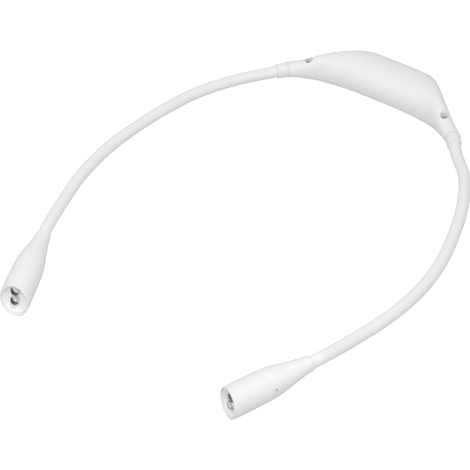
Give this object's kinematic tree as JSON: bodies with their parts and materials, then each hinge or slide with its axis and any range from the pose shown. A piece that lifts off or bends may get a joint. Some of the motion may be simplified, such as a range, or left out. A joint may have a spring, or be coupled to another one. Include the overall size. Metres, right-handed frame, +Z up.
{
  "type": "neck reading light",
  "caption": "Hands-free reading light worn round the neck: a battery housing behind it and a bendable arm with a two-lamp head on each side.",
  "frame": {"origin": "a point of the battery door's outer face in the middle plane of the light, on the surface that the light lies on", "axes": "+Y towards the back of the housing, away from the heads; +X to the wearer's right; +Z up from the resting surface"},
  "size_m": [0.1996, 0.2671, 0.0267],
  "materials": {
    "white_shell": "satin moulded",
    "white_sleeve": "soft satin",
    "spring_steel": "drawn",
    "zinc_steel": "zinc plated",
    "nickel_plate": "nickel plated",
    "cell_sleeve": "printed film",
    "green_board": "solder mask",
    "black_plastic": "moulded",
    "grey_rubber": "matt",
    "clear_epoxy": "clear",
    "wire_sleeve": "smooth"
  },
  "bodies": {
    "housing": {"housing_top": "white_shell", "housing_bottom": "white_shell", "battery_cell_front": "cell_sleeve", "battery_cell_rear": "cell_sleeve", "contact_positive": "nickel_plate", "contact_negative": "nickel_plate", "contact_bridge": "nickel_plate", "driver_board": "green_board", "right_lead": "wire_sleeve", "left_lead": "wire_sleeve", "right_case_screw": "zinc_steel", "left_case_screw": "zinc_steel", "right_collar": "white_shell", "left_collar": "white_shell", "right_sleeve_root": "white_sleeve", "right_core_root": "spring_steel", "left_sleeve_root": "white_sleeve", "left_core_root": "spring_steel"},
    "battery_door": {"battery_door": "white_shell"},
    "right_arm_1": {"right_sleeve_1": "white_sleeve", "right_core_1": "spring_steel"},
    "right_arm_2": {"right_sleeve_2": "white_sleeve", "right_core_2": "spring_steel"},
    "right_arm_3": {"right_sleeve_3": "white_sleeve", "right_core_3": "spring_steel"},
    "right_arm_4": {"right_sleeve_4": "white_sleeve", "right_core_4": "spring_steel"},
    "right_arm_5": {"right_sleeve_5": "white_sleeve", "right_core_5": "spring_steel"},
    "right_head": {"right_sleeve_end": "white_sleeve", "right_core_end": "spring_steel", "right_head_shell": "white_shell", "right_lamp_cup": "white_shell", "right_led_upper": "clear_epoxy", "right_led_lower": "clear_epoxy", "right_head_board": "green_board", "right_push_switch": "black_plastic", "right_core_crimp": "zinc_steel"},
    "right_button": {"right_button": "grey_rubber"},
    "left_arm_1": {"left_sleeve_1": "white_sleeve", "left_core_1": "spring_steel"},
    "left_arm_2": {"left_sleeve_2": "white_sleeve", "left_core_2": "spring_steel"},
    "left_arm_3": {"left_sleeve_3": "white_sleeve", "left_core_3": "spring_steel"},
    "left_arm_4": {"left_sleeve_4": "white_sleeve", "left_core_4": "spring_steel"},
    "left_arm_5": {"left_sleeve_5": "white_sleeve", "left_core_5": "spring_steel"},
    "left_head": {"left_sleeve_end": "white_sleeve", "left_core_end": "spring_steel", "left_head_shell": "white_shell", "left_lamp_cup": "white_shell", "left_led_upper": "clear_epoxy", "left_led_lower": "clear_epoxy", "left_head_board": "green_board", "left_push_switch": "black_plastic", "left_core_crimp": "zinc_steel"},
    "left_button": {"left_button": "grey_rubber"}
  },
  "joints": [
    {"name": "right_spread_1", "type": "hinge", "parent": "housing", "child": "right_arm_1", "pos_m": [0.06179, -0.03005, 0.0084], "axis": [0, 0, 1], "range_deg": [-20, 40]},
    {"name": "right_lift_1", "type": "hinge", "parent": "right_arm_1", "child": "right_arm_2", "pos_m": [0.08288, -0.06042, 0.01206], "axis": [-0.9058, -0.4237, 0], "range_deg": [-40, 40]},
    {"name": "right_spread_2", "type": "hinge", "parent": "right_arm_2", "child": "right_arm_3", "pos_m": [0.09518, -0.09555, 0.01472], "axis": [0, 0, 1], "range_deg": [-25, 40]},
    {"name": "right_lift_2", "type": "hinge", "parent": "right_arm_3", "child": "right_arm_4", "pos_m": [0.10085, -0.13233, 0.01682], "axis": [-0.9996, -0.0289, 0], "range_deg": [-30, 40]},
    {"name": "right_spread_3", "type": "hinge", "parent": "right_arm_4", "child": "right_arm_5", "pos_m": [0.09712, -0.16935, 0.01919], "axis": [0, 0, 1], "range_deg": [-15, 40]},
    {"name": "right_head_aim", "type": "hinge", "parent": "right_arm_5", "child": "right_head", "pos_m": [0.08863, -0.20541, 0.02338], "axis": [-0.9071, 0.421, 0], "range_deg": [-30, 40]},
    {"name": "right_button_press", "type": "slide", "parent": "right_head", "child": "right_button", "axis": [0.0771, -0.4239, 0.9024], "range_m": [0, 0.0005], "stiffness_N_per_m": 2000, "springref_m": -0.0003},
    {"name": "left_spread_1", "type": "hinge", "parent": "housing", "child": "left_arm_1", "pos_m": [-0.06179, -0.03005, 0.0084], "axis": [0, 0, -1], "range_deg": [-20, 40]},
    {"name": "left_lift_1", "type": "hinge", "parent": "left_arm_1", "child": "left_arm_2", "pos_m": [-0.07972, -0.06078, 0.00968], "axis": [-0.9196, 0.3929, 0], "range_deg": [-40, 40]},
    {"name": "left_spread_2", "type": "hinge", "parent": "left_arm_2", "child": "left_arm_3", "pos_m": [-0.08868, -0.0952, 0.01077], "axis": [0, 0, -1], "range_deg": [-25, 40]},
    {"name": "left_lift_2", "type": "hinge", "parent": "left_arm_3", "child": "left_arm_4", "pos_m": [-0.09223, -0.13064, 0.01157], "axis": [-1, 0.0092, 0], "range_deg": [-30, 40]},
    {"name": "left_spread_3", "type": "hinge", "parent": "left_arm_4", "child": "left_arm_5", "pos_m": [-0.0882, -0.16598, 0.01258], "axis": [0, 0, -1], "range_deg": [-15, 40]},
    {"name": "left_head_aim", "type": "hinge", "parent": "left_arm_5", "child": "left_head", "pos_m": [-0.07838, -0.20023, 0.01397], "axis": [-0.9516, -0.3074, 0], "range_deg": [-30, 40]},
    {"name": "left_button_press", "type": "slide", "parent": "left_head", "child": "left_button", "axis": [-0.2624, -0.2092, 0.942], "range_m": [0, 0.0005], "stiffness_N_per_m": 2000, "springref_m": -0.0003},
    {"name": "battery_door_hinge", "type": "hinge", "parent": "housing", "child": "battery_door", "pos_m": [0, -0.00438, 0.00075], "axis": [-1, 0, 0], "range_deg": [0, 90]}
  ]
}
